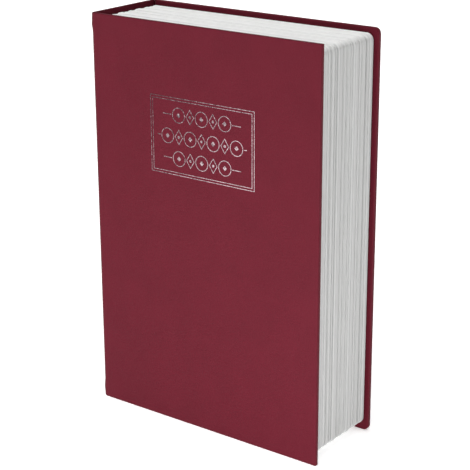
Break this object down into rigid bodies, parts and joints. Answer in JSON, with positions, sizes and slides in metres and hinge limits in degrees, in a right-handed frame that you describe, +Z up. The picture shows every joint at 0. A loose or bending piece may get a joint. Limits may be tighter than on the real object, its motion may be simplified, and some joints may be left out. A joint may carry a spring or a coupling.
{
  "type": "book diversion safe",
  "caption": "Standing hardback book with a hinged front cover that hides a lockable steel box in its page block.",
  "frame": {"origin": "middle of the rectangle that the book stands on, at the tail edges of its covers", "axes": "+Z up from tail to head, +X from the spine to the fore-edge, +Y from the front cover to the back cover"},
  "size_m": [0.16, 0.058, 0.24],
  "materials": {
    "leatherette": "burgundy leather-grain covering paper, satin",
    "grey_board": "matt grey board",
    "endpaper": "matt off-white paper",
    "page_plastic": "matt white moulded plastic with ridges like page edges",
    "black_steel": "black powder coat, fine texture",
    "zinc_steel": "bright zinc plate",
    "chrome": "satin chrome",
    "lock_plastic": "black moulded plastic",
    "dial_plastic": "white moulded plastic"
  },
  "bodies": {
    "case": {"back_cover_paper": "leatherette", "back_board": "grey_board", "back_endpaper": "endpaper", "back_joint_paper": "leatherette", "front_joint_paper": "leatherette", "spine_paper": "leatherette", "spine_board": "grey_board", "spine_lining": "endpaper", "page_block": "page_plastic", "steel_tray": "black_steel", "tray_hinge_leaf": "zinc_steel", "hinge_pin": "zinc_steel", "tray_rivet_1": "zinc_steel", "tray_rivet_2": "zinc_steel", "tray_rivet_3": "zinc_steel", "tray_rivet_4": "zinc_steel"},
    "front_cover": {"front_cover_paper": "leatherette", "front_board": "grey_board", "front_endpaper": "endpaper"},
    "lid": {"lid_panel": "black_steel", "lid_hinge_leaf": "zinc_steel", "escutcheon": "chrome", "lock_case": "lock_plastic", "dial_shaft": "zinc_steel", "click_spring": "zinc_steel", "lock_screw_1": "zinc_steel", "lock_screw_2": "zinc_steel", "lock_screw_3": "zinc_steel", "lock_screw_4": "zinc_steel"},
    "dial_1": {"number_dial_1": "dial_plastic"},
    "dial_2": {"number_dial_2": "dial_plastic"},
    "dial_3": {"number_dial_3": "dial_plastic"},
    "bolt": {"bolt_slide": "zinc_steel", "release_knob": "chrome"}
  },
  "joints": [
    {"name": "cover_hinge", "type": "hinge", "parent": "case", "child": "front_cover", "pos_m": [-0.0785, -0.0275, 0.12], "axis": [0, 0, -1], "range_deg": [0, 175], "deforming": ["front_joint_paper"]},
    {"name": "lid_hinge", "type": "hinge", "parent": "case", "child": "lid", "pos_m": [-0.064, -0.02005, 0.1209], "axis": [0, 0, -1], "range_deg": [0, 96.25]},
    {"name": "dial_1_spin", "type": "hinge", "parent": "lid", "child": "dial_1", "pos_m": [0.013, -0.0169, 0.1209], "axis": [1, 0, 0], "continuous": true},
    {"name": "dial_2_spin", "type": "hinge", "parent": "lid", "child": "dial_2", "pos_m": [0.024, -0.0169, 0.1209], "axis": [1, 0, 0], "continuous": true},
    {"name": "dial_3_spin", "type": "hinge", "parent": "lid", "child": "dial_3", "pos_m": [0.035, -0.0169, 0.1209], "axis": [1, 0, 0], "continuous": true},
    {"name": "bolt_slide_joint", "type": "slide", "parent": "lid", "child": "bolt", "axis": [1, 0, 0], "range_m": [0, 0.004]}
  ],
  "couplings": [
    {"joint": "lid_hinge", "follows": "cover_hinge", "ratio": 0.55}
  ]
}
